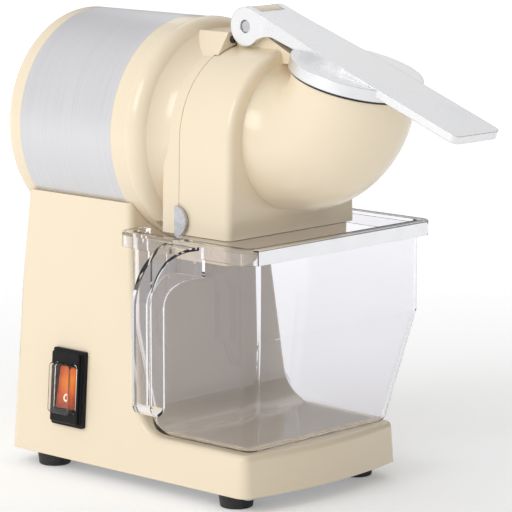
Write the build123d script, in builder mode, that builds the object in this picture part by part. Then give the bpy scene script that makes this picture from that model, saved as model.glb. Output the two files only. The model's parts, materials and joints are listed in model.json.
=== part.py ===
"""Shaved ice machine: a direct-drive motor in a round barrel turns a bladed disc behind an elbow
hopper, a hinged press lever pushes the ice down, and the shavings fall into a clear container.

Units are millimetres. +Z is up, the hopper and the container face -Y, and the switch is on the -X
side. Machine coordinates have x = 0 on the plane of symmetry; MID_X and MID_Y move them so that the
origin is at the centre of the whole footprint, on the surface that the feet stand on.
"""

import math
import os

from build123d import *

# ---------------------------------------------------------------- driving dimensions
MID_X = 18.5                 # plane of symmetry, from the origin
MID_Y = 21.83                # machine y = 0, from the origin
FOOT_HEIGHT = 10.0
FIT = 0.05                   # radial clearance of a screw in its hole
WALL = 4.0                   # castings and housing

# Base housing: tapered pedestal behind a low foot plate
BASE_HALF_WIDTH = 72.0
BASE_REAR = 142.0
BASE_FRONT = -71.0
BASE_BOW = 9.0               # how far the front edge bows forward
BASE_CORNER = 8.0
BASE_DRAFT = 3.9             # degrees
PEDESTAL_TOP = 181.0
PLATE_TOP = 36.5
PEDESTAL_FOOT_Y = 22.5       # front of the pedestal, level with the plate
PEDESTAL_FRONT_SLOPE = 0.11
PEDESTAL_FILLET = 24.0

# Barrel, along Y
BARREL_Z = 223.7
BARREL_R = 72.0
CAP_REAR = 140.7
BAND_REAR = 127.0
BAND_FRONT = 43.6
BAND_THICKNESS = 1.0
RING_FACE = 18.0
RING_FACE_R = 65.8

# Chamber, an arch-shaped box split at the seam
ARCH_R = 57.5
ARCH_FOOT = 58.6             # half width at the bottom
CHAMBER_BOTTOM = 166.0
SEAM_Y = -3.0
SEAM_GAP = 0.3
CHAMBER_FACE = -46.0
CHAMBER_REAR = 9.0
CHAMBER_R = 52.0

# Elbow hopper: round sections that fan from the chamber face up to the mouth
ELBOW_FACE_Z = 226.3
ELBOW_FACE_R = 46.9
MOUTH_Y = -96.0
MOUTH_Z = 263.6
MOUTH_R = 39.5
MOUTH_TILT = 15.7            # degrees, sloping down to the front
ELBOW_BULGE = 4.2            # how far the middle sections stand out from a plain bend
ELBOW_R_MIDDLE = 40.0
ELBOW_SECTIONS = 5
ELBOW_OVERRUN = 0.03         # of its length, so that the inside opens both ends

# Press lever
PIVOT_Y = -19.6
PIVOT_Z = 293.5
LEVER_TILT = 20.8            # degrees below level, towards the tip
LEVER_LENGTH = 182.3
EAR_R = 12.2
EAR_INNER = 11.0
EAR_OUTER = 16.2
ARM_HALF_WIDTH = 21.2
ARM_EDGE = 5.0
ARM_CROWN = 7.4
PIN_R = 4.0
DISC_R = 41.5
DISC_THICKNESS = 7.5
SEAL_THICKNESS = 1.5
SEAL_CLEARANCE = 0.3

# Container
RIM_HALF_WIDTH = 85.0
RIM_FRONT = -89.8
RIM_REAR = 25.7
RIM_TOP = 168.0
RIM_DROP = 9.4
RIM_STEP = 5.0               # from the flange's face to the wall's face
BOX_WALL = 2.4
BOX_BEND_Z = 110.0           # the walls are upright above it and lean in below it
BOX_LEAN = 14.5              # how far the leaning walls come in by the floor
BOX_LEAN_REAR = 4.0
BOX_FLOOR = 36.8
BOX_ROUND = 6.0              # bottom edges
BOX_REAR_ROUND = 20.0        # the rear bottom edge, which clears the foot of the pedestal
BOX_CORNER = 9.0

# Motor
SHAFT_R = 7.5
BEARING_R = 17.5
BEARING_WIDTH = 11.0
STATOR_R = 64.0
STATOR_BORE = 34.0
ROTOR_R = 33.4
CORE_FRONT = 52.0
CORE_REAR = 102.0


# ---------------------------------------------------------------- planes and helpers
def at(x, y, z):
    """A point of the machine, from the origin."""
    return (MID_X + x, MID_Y + y, z)


def level(z):
    """Horizontal plane: sketch x, y are machine x, y; extrudes upwards."""
    return Plane(origin=at(0, 0, z))


def facing_front(y):
    """Upright plane across the machine: sketch x, y are machine x, z; extrudes towards -Y."""
    return Plane(origin=at(0, y, 0), x_dir=(1, 0, 0), z_dir=(0, -1, 0))


def facing_right(x):
    """Upright plane along the machine: sketch x, y are machine y, z; extrudes towards +X."""
    return Plane(origin=at(x, 0, 0), x_dir=(0, 1, 0), z_dir=(1, 0, 0))


BARREL_AXIS = Axis(at(0, 0, BARREL_Z), (0, 1, 0))
PIVOT_AXIS = Axis(at(0, PIVOT_Y, PIVOT_Z), (1, 0, 0))

LEVER_COS = math.cos(math.radians(LEVER_TILT))
LEVER_SIN = math.sin(math.radians(LEVER_TILT))
MOUTH_COS = math.cos(math.radians(MOUTH_TILT))
MOUTH_SIN = math.sin(math.radians(MOUTH_TILT))


def on_axis(y):
    """Upright plane across the barrel's axis: sketch x, y from the axis; extrudes towards -Y."""
    return Plane(origin=at(0, y, BARREL_Z), x_dir=(1, 0, 0), z_dir=(0, -1, 0))


def lever_side(x):
    """Plane along the lever: sketch x runs to the tip from the pivot, sketch y up from the pivot."""
    return Plane(origin=at(x, PIVOT_Y, PIVOT_Z), x_dir=(0, -LEVER_COS, -LEVER_SIN), z_dir=(-1, 0, 0))


def lever_top(height):
    """Plane along the lever's top: sketch x runs to the tip from the pivot, sketch y to +X."""
    origin = at(0, PIVOT_Y - height * LEVER_SIN, PIVOT_Z + height * LEVER_COS)
    return Plane(origin=origin, x_dir=(0, -LEVER_COS, -LEVER_SIN), z_dir=(0, -LEVER_SIN, LEVER_COS))


def lever_across(along):
    """Plane across the lever: sketch x, y are machine x and the height above the pivot."""
    origin = at(0, PIVOT_Y - along * LEVER_COS, PIVOT_Z - along * LEVER_SIN)
    return Plane(origin=origin, x_dir=(1, 0, 0), z_dir=(0, -LEVER_COS, -LEVER_SIN))


def mouth_plane(rise):
    """Plane of the hopper's mouth, raised along its own normal."""
    origin = at(0, MOUTH_Y - rise * MOUTH_SIN, MOUTH_Z + rise * MOUTH_COS)
    return Plane(origin=origin, x_dir=(1, 0, 0), z_dir=(0, -MOUTH_SIN, MOUTH_COS))


def switch_plane(out):
    """Plane on the pedestal's left flank at the switch: sketch x runs forward, sketch y up."""
    lean = math.radians(BASE_DRAFT)
    x = -(BASE_HALF_WIDTH - (SWITCH_Z - FOOT_HEIGHT) * math.tan(lean)) - out * math.cos(lean)
    z = SWITCH_Z + out * math.sin(lean)
    return Plane(origin=at(x, SWITCH_Y, z), x_dir=(0, -1, 0), z_dir=(-math.cos(lean), 0, math.sin(lean)))


def save(piece, name):
    """Label a finished piece and write it as its own STEP file."""
    piece.label = name
    export_step(piece, f"parts/{name}.step")


def arch_outline(radius, foot, bottom):
    """Sketch facing front: a round top about the barrel's axis, down to a foot of that half width."""
    with BuildSketch() as outline:
        with BuildLine():
            Polyline((-radius, BARREL_Z), (-foot, bottom), (foot, bottom), (radius, BARREL_Z))
            ThreePointArc((radius, BARREL_Z), (0, BARREL_Z + radius), (-radius, BARREL_Z))
        make_face()
    return outline.sketch


def base_outline(inset, corner):
    """Sketch of the base's underside, with a bowed front edge and rounded corners."""
    half = BASE_HALF_WIDTH - inset
    front = BASE_FRONT + inset
    rear = BASE_REAR - inset
    with BuildSketch() as outline:
        with BuildLine():
            ThreePointArc((-half, front), (0, front - BASE_BOW), (half, front))
            Polyline((half, front), (half, rear), (-half, rear), (-half, front))
        make_face()
        fillet(outline.vertices(), corner)
    return outline.sketch


os.makedirs("parts", exist_ok=True)

# ================================================================ base
SWITCH_Y = 85.3
SWITCH_Z = 57.0
BEZEL_WIDTH = 29.5
BEZEL_HEIGHT = 50.0

BARREL_SEAT_GAP = 0.15
GLAND_Z = 42.0
WIRE_HOLE_Y = 110.0
WIRE_HOLE_R = 8.0
GLAND_HOLE_R = 8.1

SADDLE_SPACE_TOP = 146.0
SHEET = 2.0
FOOT_X = 56.0
FOOT_REAR = 115.0
FOOT_FRONT = -50.0
FOOT_PLACES = [(side * FOOT_X, y) for side in (-1, 1) for y in (FOOT_REAR, FOOT_FRONT)]
FOOT_R = 11.5
FOOT_TAPER = 7.0
FOOT_RECESS = 4.5
FOOT_SCREW_R = 2.0
FOOT_SCREW_HEAD_R = 4.2
FOOT_SCREW_HEAD = 2.4
FOOT_SCREW_LENGTH = 12.0
NUT_R = 4.0
NUT_HEIGHT = 3.0
RIM_SCREW_PLACES = [(side * 61.5, y) for side in (-1, 1) for y in (130.0, -65.2)]
RIM_SCREW_R = 2.0
RIM_SCREW_HEAD_R = 4.2
RIM_SCREW_HEAD = 2.4
RIM_SCREW_LENGTH = 9.0
SCREW_BOSS_R = 4.6
SCREW_BOSS_HEIGHT = 21.0
SADDLE_SCREW_PLACES = (58.0, 92.0)
SADDLE_SCREW_R = 2.5
SADDLE_SCREW_HEAD_R = 4.5
SADDLE_SCREW_HEAD = 3.0
SADDLE_SCREW_LENGTH = 11.5
SADDLE_NUT_R = 5.0
SADDLE_NUT = 4.0
GLAND_Y = 140.7              # just outside the housing's rear face at the gland's height
GLAND_HEX_R = 11.0
GLAND_HEX = 4.0
GLAND_SHANK = 9.0
GLAND_DOME_R = 8.6
GLAND_DOME = 6.0
CORD_R = 3.6

BEZEL_STEP = 2.4
BEZEL_RISE = 2.6
BEZEL_INNER_WIDTH = 25.5
BEZEL_INNER_SHIFT = -1.2
ROCKER_WIDTH = 18.0
ROCKER_HEIGHT = 28.0
ROCKER_LOW = 1.0
ROCKER_VALLEY = 2.2
ROCKER_HIGH = 4.4
ROCKER_BELLY = 5.0
SWITCH_CUTOUT_WIDTH = 22.0
SWITCH_CUTOUT_HEIGHT = 32.0
SWITCH_WELL = 6.0
SWITCH_DEPTH = 24.0
HOOD_WIDTH = 20.6
HOOD_HEIGHT = 33.0
HOOD_OUT = 6.5
HOOD_WALL = 0.9
HOUSING_EDGE_R = 4.0

TERMINAL_PLACE = (-16.0, 66.0)
TERMINAL_SIZE = (44.0, 18.0, 16.0)
TERMINAL_PITCH = 10.0
CAPACITOR_R = 15.0
CAPACITOR_X = 26.0
CAPACITOR_REAR = 122.0
CAPACITOR_LENGTH = 60.0

TIE_BOLTS = 4
TIE_BOLT_START = 45.0        # degrees, from +X
TIE_BOLT_CIRCLE = 67.0
TIE_BOLT_R = 2.0
TIE_BOLT_TIP = 33.0
TIE_BOLT_HEAD = 3.0
TIE_BOLT_HEAD_R = 3.9
TIE_LUG_REACH = 3.6
TIE_LUG_WIDTH = 12.0
SLOTS = 24
SLOT_CIRCLE = 44.0
SLOT_LENGTH = 16.0
SLOT_WIDTH = 4.0
WINDING_R = 59.0
WINDING_BORE = 36.0
WINDING_REACH = 14.0
WINDING_REACH_REAR = 10.0
SHIELD_REAR = 118.0
SHIELD_FRONT = 114.0
SHIELD_VENTS = 12
SHIELD_VENT_CIRCLE = 44.0
SHIELD_VENT_LENGTH = 26.0
SHIELD_VENT_WIDTH = 7.0
FRONT_BEARING_FRONT = 13.0
REAR_BEARING_FRONT = 108.0
BEARING_FIT = 0.02
BEARING_LIP = 2.0
BEARING_HUB_R = 22.0
BEARING_GROOVE = 1.2
BEARING_GROOVE_OUTER = 14.5
BEARING_GROOVE_INNER = 10.5
SEAL_R = 13.0
CAP_WALL = 3.0
CAP_SPIGOT = 4.0
CAP_EDGE_R = 6.0
CAP_BOSS_R = 4.0
CAP_SCREWS = 3
CAP_SCREW_START = 90.0
CAP_SCREW_CIRCLE = 62.0
CAP_SCREW_R = 1.6
CAP_SCREW_HEAD = 2.0
CAP_SCREW_HEAD_R = 3.4
CAP_VENT_ROWS = 9
CAP_VENT_PITCH = 9.0
CAP_VENT_WIDTH = 3.4
CAP_VENT_R = 50.0

RING_FOOT = 4.0              # where the neck leaves the ring's front face
RING_SHOULDER = 31.0
RING_BOTTOM = 170.0
RING_REST_Y = 28.0
BLOCK_REAR = 19.0
BLOCK_FRONT = -6.5
BLOCK_TOP = 289.0
BLOCK_HALF_WIDTH = 17.0
BLOCK_FOOT = 30.0
BLOCK_FOOT_Z = 270.0
BLOCK_CLEARANCE = 0.5
NECK_SPACE_R = 62.5
NECK_SPACE_FRONT = 33.0
NECK_POCKET_R = 48.0
STOP_X = 13.6
STOP_Z = 284.5
STOP_R = 2.4
STOP_LENGTH = 2.5
SHAFT_REAR = 134.0
SHAFT_FRONT = -43.5
SHAFT_TIP_R = 5.0
CUTTER_REAR = -31.0
CUTTER_FRONT = -37.0
CUTTER_R = 50.0
CUTTER_HUB_R = 14.0
CUTTER_HUB = 6.0
CUTTER_BLADES = 3
CUTTER_SLOT_X = 30.0
CUTTER_SLOT_Y = -5.0
CUTTER_SLOT_LENGTH = 32.0
CUTTER_SLOT_WIDTH = 6.0
BLADE_Y = 4.5
BLADE_LENGTH = 34.0
BLADE_WIDTH = 13.0
BLADE_THICKNESS = 1.2
BLADE_SCREWS = ((20.0, 6.0), (40.0, 6.0))
BLADE_SCREW_R = 1.5
BLADE_SCREW_HEAD_R = 2.8
BLADE_SCREW_HEAD = 1.2
CUTTER_NUT_R = 9.0
CUTTER_NUT = 5.0
FAN_REAR = 133.0
FAN_WIDTH = 9.0
FAN_HUB_R = 12.0
FAN_BLADES = 9
FAN_BLADE = 1.8
FAN_PITCH = 35.0
FAN_R = 54.0

FACE_EDGE_R = 4.0
FACE_WALL = 5.0
BOSS_R = 12.0
BOSS_HALF_WIDTH = 10.5
RIB_DROP = 5.0
RIB_TIP_Y = -54.5
RIB_TIP_Z = 277.5
LATCH_Y = -1.9
LATCH_Z = 174.5
LATCH_X = 58.9
LATCH_R = 9.6
LATCH_THICKNESS = 2.4
SPINDLE_R = 2.5
SPINDLE_LENGTH = 9.2
CLIP_R = 4.5
SPINDLE_END = 0.4
CLIP_THICKNESS = 1.2
RECESS_R = 11.0
RECESS_DEPTH = 1.0
CHUTE_HALF_WIDTH = 55.5
CHUTE_FRONT = -43.5
CHUTE_REAR = 4.5
CHUTE_BOTTOM = 150.0
CHUTE_TOP = 165.0
CHUTE_WALL = 2.4
CHUTE_CORNER = 4.0
COLLAR_HALF_WIDTH = 51.7
COLLAR_FRONT = -40.7
COLLAR_REAR = -8.0
COLLAR_HEIGHT = 8.0
PIN_HALF_LENGTH = 15.2
PIN_CLEARANCE = 0.08

EAR_BREAK = math.radians(48)
WALL_DEEP = 3.2
WALL_THIN = 6.2
WALL_START = 24.0
WALL_END = 70.0
WALL_CURVE = (14.0, -1.8)
WEB_R = 13.2
ARM_TAPER_START = 16.0
ARM_TAPER_END = 85.0
TIP_CORNER = 5.0
HOPPER_SEAL_R = 40.2
HOPPER_SEAL_BORE = 33.5
PUSHER_R = 31.0
PUSHER_DEPTH = 24.0
PUSHER_TAPER = 9.4
PUSHER_HOLLOW_R = 23.5
PUSHER_FLOOR = 3.0
PUSHER_SCREWS = 3
PUSHER_SCREW_CIRCLE = 14.0
PUSHER_BOSS_R = 6.5
PUSHER_SCREW_R = 2.0
PUSHER_SCREW_HEAD_R = 3.6
PUSHER_SCREW_HEAD = 2.4
PUSHER_SCREW_SHELF = 8.0
PUSHER_SCREW_GRIP = 5.0
PUSHER_TEETH = 9
PUSHER_TOOTH_CIRCLE = 21.5
PUSHER_TOOTH_R = 2.4
PUSHER_TOOTH = 3.0
PUSHER_TOOTH_TAPER = 32.0

HANDLE_OUTER = -122.0
HANDLE_INNER = -110.0
HANDLE_FRONT = -41.5
HANDLE_REAR = -25.7
HANDLE_TOP = 166.0
HANDLE_UNDERSIDE = 147.0
HANDLE_BEND_Z = 130.0
HANDLE_END = 65.0
HANDLE_END_R = 6.0
HANDLE_ROOT_X = -88.0
HANDLE_NECK_X = -106.0
HANDLE_ROOT_HALF_WIDTH = 13.0
NOTCH_HALF_WIDTH = 62.0
NOTCH_BOTTOM = 146.0
TRIM_HALF_WIDTH = 78.0
TRIM_THICKNESS = 1.2
TRIM_LIP = 5.0

with BuildPart() as base_housing:
    with BuildSketch(level(FOOT_HEIGHT)):
        add(base_outline(0, BASE_CORNER))
    extrude(amount=PEDESTAL_TOP - FOOT_HEIGHT, taper=BASE_DRAFT)
    with BuildSketch(facing_right(-BASE_HALF_WIDTH * 1.5)) as container_bay:
        rise = PEDESTAL_TOP + WALL - PLATE_TOP
        bay_front = BASE_FRONT * 2
        with BuildLine():
            Polyline(
                (bay_front, PLATE_TOP),
                (PEDESTAL_FOOT_Y, PLATE_TOP),
                (PEDESTAL_FOOT_Y + PEDESTAL_FRONT_SLOPE * rise, PLATE_TOP + rise),
                (bay_front, PLATE_TOP + rise),
                close=True,
            )
        make_face()
        fillet(container_bay.vertices().sort_by_distance((PEDESTAL_FOOT_Y, PLATE_TOP))[0], PEDESTAL_FILLET)
    extrude(amount=BASE_HALF_WIDTH * 3, mode=Mode.SUBTRACT)
    bay_edges = (
        base_housing.edges(Select.LAST)
        .filter_by(lambda edge: edge.center().Z < PEDESTAL_TOP - 1)
        .filter_by(lambda edge: abs(edge.center().X - MID_X) > 36 or edge.center().Y < MID_Y - 40)
    )
    fillet(bay_edges, HOUSING_EDGE_R)
    # The seat that the barrel lies in
    with BuildSketch(facing_front(BASE_REAR + WALL)):
        with Locations((0, BARREL_Z)):
            Circle(BARREL_R + BARREL_SEAT_GAP)
    extrude(amount=BASE_REAR * 1.2, mode=Mode.SUBTRACT)
    # The space under the plate and inside the pedestal
    with BuildSketch(level(FOOT_HEIGHT)):
        add(base_outline(WALL, BASE_CORNER - WALL))
    extrude(amount=PLATE_TOP - WALL - FOOT_HEIGHT, taper=BASE_DRAFT, mode=Mode.SUBTRACT)
    space_front = PEDESTAL_FOOT_Y + 11
    space_rear = BASE_REAR - WALL * 1.5
    with BuildSketch(level(PLATE_TOP - WALL - 1)):
        with Locations((0, (space_front + space_rear) / 2)):
            RectangleRounded(2 * (BASE_HALF_WIDTH - WALL * 1.5), space_rear - space_front, BASE_CORNER - WALL)
    extrude(amount=SADDLE_SPACE_TOP - PLATE_TOP + WALL + 1, taper=BASE_DRAFT, mode=Mode.SUBTRACT)
    # Bosses for the rim screws, and nothing of them outside the flanks
    with Locations(*[at(x, y, FOOT_HEIGHT + SHEET) for x, y in RIM_SCREW_PLACES]):
        Cylinder(SCREW_BOSS_R, SCREW_BOSS_HEIGHT, align=(Align.CENTER, Align.CENTER, Align.MIN))
        Cylinder(RIM_SCREW_R + FIT, RIM_SCREW_LENGTH, align=(Align.CENTER, Align.CENTER, Align.MIN), mode=Mode.SUBTRACT)
    with Locations(*[at(0, y, SADDLE_SPACE_TOP) for y in SADDLE_SCREW_PLACES]):
        Cylinder(SADDLE_SCREW_R + FIT, 4 * WALL, mode=Mode.SUBTRACT)
    # Holes for the switch, the cable gland and the wires up to the motor
    with BuildSketch(switch_plane(WALL)):
        Rectangle(SWITCH_CUTOUT_WIDTH, SWITCH_CUTOUT_HEIGHT)
    extrude(amount=-4 * WALL, mode=Mode.SUBTRACT)
    with BuildSketch(facing_front(BASE_REAR + WALL)):
        with Locations((0, GLAND_Z)):
            Circle(GLAND_HOLE_R)
    extrude(amount=4 * WALL, mode=Mode.SUBTRACT)
    with BuildSketch(level(SADDLE_SPACE_TOP - WALL)):
        with Locations((0, WIRE_HOLE_Y)):
            Circle(WIRE_HOLE_R)
    extrude(amount=4 * WALL, mode=Mode.SUBTRACT)
save(base_housing.part, "base_housing")

with BuildPart() as base_plate:
    with BuildSketch(level(FOOT_HEIGHT)):
        add(base_outline(WALL + 0.6, BASE_CORNER - WALL))
    extrude(amount=SHEET)
    with Locations(*[at(x, y, FOOT_HEIGHT) for x, y in FOOT_PLACES]):
        Cylinder(FOOT_SCREW_R + 0.3, 3 * SHEET, mode=Mode.SUBTRACT)
    with Locations(*[at(x, y, FOOT_HEIGHT) for x, y in RIM_SCREW_PLACES]):
        Cylinder(RIM_SCREW_R + 0.3, 3 * SHEET, mode=Mode.SUBTRACT)
save(base_plate.part, "base_plate")

with BuildPart() as rubber_feet:
    with BuildSketch(*[Plane(origin=at(x, y, FOOT_HEIGHT)) for x, y in FOOT_PLACES]):
        Circle(FOOT_R)
    extrude(amount=-FOOT_HEIGHT, taper=FOOT_TAPER)
    fillet(rubber_feet.edges().group_by(Axis.Z)[0], 1.2)
    with Locations(*[at(x, y, 0) for x, y in FOOT_PLACES]):
        Cylinder(FOOT_SCREW_R + 0.2, FOOT_HEIGHT * 3, mode=Mode.SUBTRACT)
        Cylinder(FOOT_SCREW_HEAD_R + 0.6, 2 * FOOT_RECESS, mode=Mode.SUBTRACT)
save(rubber_feet.part, "rubber_feet")

with BuildPart() as foot_screws:
    with Locations(*[at(x, y, FOOT_RECESS) for x, y in FOOT_PLACES]):
        Cylinder(FOOT_SCREW_HEAD_R, FOOT_SCREW_HEAD, align=(Align.CENTER, Align.CENTER, Align.MAX))
        Cylinder(FOOT_SCREW_R, FOOT_SCREW_LENGTH, align=(Align.CENTER, Align.CENTER, Align.MIN))
save(foot_screws.part, "foot_screws")

with BuildPart() as foot_nuts:
    with BuildSketch(*[Plane(origin=at(x, y, FOOT_HEIGHT + SHEET)) for x, y in FOOT_PLACES]):
        RegularPolygon(radius=NUT_R, side_count=6)
        Circle(FOOT_SCREW_R + 0.05, mode=Mode.SUBTRACT)
    extrude(amount=NUT_HEIGHT)
save(foot_nuts.part, "foot_nuts")

with BuildPart() as rim_screws:
    with Locations(*[at(x, y, FOOT_HEIGHT) for x, y in RIM_SCREW_PLACES]):
        Cylinder(RIM_SCREW_HEAD_R, RIM_SCREW_HEAD, align=(Align.CENTER, Align.CENTER, Align.MAX))
        Cylinder(RIM_SCREW_R, RIM_SCREW_LENGTH, align=(Align.CENTER, Align.CENTER, Align.MIN))
    fillet(rim_screws.edges().group_by(Axis.Z)[0], RIM_SCREW_HEAD * 0.7)
save(rim_screws.part, "rim_screws")

with BuildPart() as cable_gland:
    with BuildSketch(Plane(origin=at(0, GLAND_Y, GLAND_Z), x_dir=(1, 0, 0), z_dir=(0, 1, 0))):
        RegularPolygon(radius=GLAND_HEX_R, side_count=6)
    extrude(amount=GLAND_HEX)
    with BuildSketch(Plane(origin=at(0, GLAND_Y, GLAND_Z), x_dir=(1, 0, 0), z_dir=(0, 1, 0))):
        Circle(GLAND_HOLE_R - 0.1)
    extrude(amount=-GLAND_SHANK)
    with BuildSketch(Plane(origin=at(0, GLAND_Y + GLAND_HEX, GLAND_Z), x_dir=(1, 0, 0), z_dir=(0, 1, 0))):
        Circle(GLAND_DOME_R)
    extrude(amount=GLAND_DOME, taper=20)
    with BuildSketch(Plane(origin=at(0, GLAND_Y - GLAND_SHANK, GLAND_Z), x_dir=(1, 0, 0), z_dir=(0, 1, 0))):
        Circle(CORD_R)
    extrude(amount=GLAND_SHANK + GLAND_HEX + GLAND_DOME, mode=Mode.SUBTRACT)
save(cable_gland.part, "cable_gland")

# ================================================================ switch, on the left flank
with BuildPart() as switch_bezel:
    with BuildSketch(switch_plane(0)):
        RectangleRounded(BEZEL_WIDTH, BEZEL_HEIGHT, 1.5)
    extrude(amount=BEZEL_STEP)
    with BuildSketch(switch_plane(BEZEL_STEP)):
        with Locations((BEZEL_INNER_SHIFT, 0)):
            RectangleRounded(BEZEL_INNER_WIDTH, BEZEL_HEIGHT - 4, 1.5)
    extrude(amount=BEZEL_RISE)
    chamfer(switch_bezel.faces().sort_by(Axis.X)[0].edges(), 0.6)
    with BuildSketch(switch_plane(-SWITCH_DEPTH)):
        Rectangle(ROCKER_WIDTH + 0.6, ROCKER_HEIGHT + 0.6)
    extrude(amount=SWITCH_DEPTH * 2, mode=Mode.SUBTRACT)
save(switch_bezel.part, "switch_bezel")

with BuildPart() as switch_body:
    with BuildSketch(switch_plane(0)):
        Rectangle(SWITCH_CUTOUT_WIDTH - 0.4, SWITCH_CUTOUT_HEIGHT - 0.4)
    extrude(amount=-SWITCH_DEPTH)
    with BuildSketch(switch_plane(0)):
        Rectangle(ROCKER_WIDTH + 0.6, ROCKER_HEIGHT + 0.6)
    extrude(amount=-SWITCH_WELL, mode=Mode.SUBTRACT)
    with BuildSketch(switch_plane(-SWITCH_DEPTH)):
        with GridLocations(10, 9, 2, 2):
            Rectangle(0.8, 6.3)
    extrude(amount=-8)
save(switch_body.part, "switch_body")

with BuildPart() as switch_rocker:
    rocker_reach = ROCKER_HEIGHT / 2 - 0.6
    # Side profile: two flat pads that meet in a shallow V, over a round belly about the hinge
    profile_plane = Plane(
        origin=switch_plane(0).from_local_coords((-ROCKER_WIDTH / 2, 0, 0)),
        x_dir=switch_plane(0).y_dir,
        z_dir=switch_plane(0).x_dir,
    )
    with BuildSketch(profile_plane):
        with BuildLine():
            Polyline((rocker_reach, -1), (rocker_reach, ROCKER_LOW), (0, ROCKER_VALLEY), (-rocker_reach, ROCKER_HIGH))
            Line((-rocker_reach, ROCKER_HIGH), (-rocker_reach, -1))
            ThreePointArc((-rocker_reach, -1), (0, -ROCKER_BELLY), (rocker_reach, -1))
        make_face()
    extrude(amount=ROCKER_WIDTH)
save(switch_rocker.part, "switch_rocker")

with BuildPart() as switch_hood:
    with BuildSketch(switch_plane(BEZEL_STEP + BEZEL_RISE)):
        RectangleRounded(HOOD_WIDTH, HOOD_HEIGHT, 3)
    extrude(amount=HOOD_OUT)
    fillet(switch_hood.edges().group_by(Axis.X)[0], 2)
    with BuildSketch(switch_plane(BEZEL_STEP + BEZEL_RISE)):
        RectangleRounded(HOOD_WIDTH - 2 * HOOD_WALL, HOOD_HEIGHT - 2 * HOOD_WALL, 3 - HOOD_WALL)
    extrude(amount=HOOD_OUT - HOOD_WALL, mode=Mode.SUBTRACT)
save(switch_hood.part, "switch_hood")

with BuildPart() as terminal_block:
    with Locations(at(*TERMINAL_PLACE, FOOT_HEIGHT + SHEET)):
        Box(*TERMINAL_SIZE, align=(Align.CENTER, Align.CENTER, Align.MIN))
    with BuildSketch(terminal_block.faces().sort_by(Axis.Z)[-1]):
        with GridLocations(TERMINAL_PITCH, 0, 4, 1):
            Circle(2.4)
    extrude(amount=-5, mode=Mode.SUBTRACT)
save(terminal_block.part, "terminal_block")

with BuildPart() as run_capacitor:
    with BuildSketch(facing_front(CAPACITOR_REAR)):
        with Locations((CAPACITOR_X, FOOT_HEIGHT + SHEET + CAPACITOR_R)):
            Circle(CAPACITOR_R)
    extrude(amount=CAPACITOR_LENGTH)
    fillet(run_capacitor.edges(), 1.5)
    with BuildSketch(facing_front(CAPACITOR_REAR - CAPACITOR_LENGTH)):
        with Locations((CAPACITOR_X, FOOT_HEIGHT + SHEET + CAPACITOR_R)):
            with GridLocations(CAPACITOR_R, 0, 2, 1):
                Rectangle(0.8, 6.3)
    extrude(amount=8)
save(run_capacitor.part, "run_capacitor")

# ================================================================ motor and barrel
with BuildPart() as motor_band:
    with BuildSketch(on_axis(BAND_REAR)):
        Circle(BARREL_R)
        Circle(BARREL_R - BAND_THICKNESS, mode=Mode.SUBTRACT)
    extrude(amount=BAND_REAR - BAND_FRONT)
    with Locations(*[at(0, y, BARREL_Z - BARREL_R) for y in SADDLE_SCREW_PLACES]):
        Cylinder(SADDLE_SCREW_R + FIT, 4 * WALL, mode=Mode.SUBTRACT)
    with Locations(at(0, WIRE_HOLE_Y, BARREL_Z - BARREL_R)):
        Cylinder(WIRE_HOLE_R, 4 * WALL, mode=Mode.SUBTRACT)
save(motor_band.part, "motor_band")

with BuildPart() as saddle_screws:
    with Locations(*[at(0, y, SADDLE_SPACE_TOP) for y in SADDLE_SCREW_PLACES]):
        Cylinder(SADDLE_SCREW_HEAD_R, SADDLE_SCREW_HEAD, align=(Align.CENTER, Align.CENTER, Align.MAX))
        Cylinder(SADDLE_SCREW_R, SADDLE_SCREW_LENGTH, align=(Align.CENTER, Align.CENTER, Align.MIN))
save(saddle_screws.part, "saddle_screws")

with BuildPart() as saddle_nuts:
    nut_z = BARREL_Z - BARREL_R + BAND_THICKNESS + 0.2
    with BuildSketch(*[Plane(origin=at(0, y, nut_z)) for y in SADDLE_SCREW_PLACES]):
        RegularPolygon(radius=SADDLE_NUT_R, side_count=6)
        Circle(SADDLE_SCREW_R + FIT, mode=Mode.SUBTRACT)
    extrude(amount=SADDLE_NUT)
save(saddle_nuts.part, "saddle_nuts")

with BuildPart() as stator_core:
    with BuildSketch(on_axis(CORE_REAR)):
        Circle(STATOR_R)
        with PolarLocations(TIE_BOLT_CIRCLE, TIE_BOLTS, start_angle=TIE_BOLT_START):
            Rectangle(2 * TIE_LUG_REACH, TIE_LUG_WIDTH)
        with PolarLocations(TIE_BOLT_CIRCLE, TIE_BOLTS, start_angle=TIE_BOLT_START):
            Circle(TIE_BOLT_R + FIT, mode=Mode.SUBTRACT)
        Circle(STATOR_BORE, mode=Mode.SUBTRACT)
        with PolarLocations(SLOT_CIRCLE, SLOTS):
            SlotOverall(SLOT_LENGTH, SLOT_WIDTH, mode=Mode.SUBTRACT)
    extrude(amount=CORE_REAR - CORE_FRONT)
save(stator_core.part, "stator_core")

with BuildPart() as stator_windings:
    with BuildSketch(on_axis(CORE_FRONT)):
        Circle(WINDING_R)
        Circle(WINDING_BORE, mode=Mode.SUBTRACT)
    extrude(amount=WINDING_REACH)
    with BuildSketch(on_axis(CORE_REAR + WINDING_REACH_REAR)):
        Circle(WINDING_R)
        Circle(WINDING_BORE, mode=Mode.SUBTRACT)
    extrude(amount=WINDING_REACH_REAR)
    fillet(stator_windings.edges().group_by(Axis.Y)[0] + stator_windings.edges().group_by(Axis.Y)[-1], 3)
save(stator_windings.part, "stator_windings")

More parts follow.
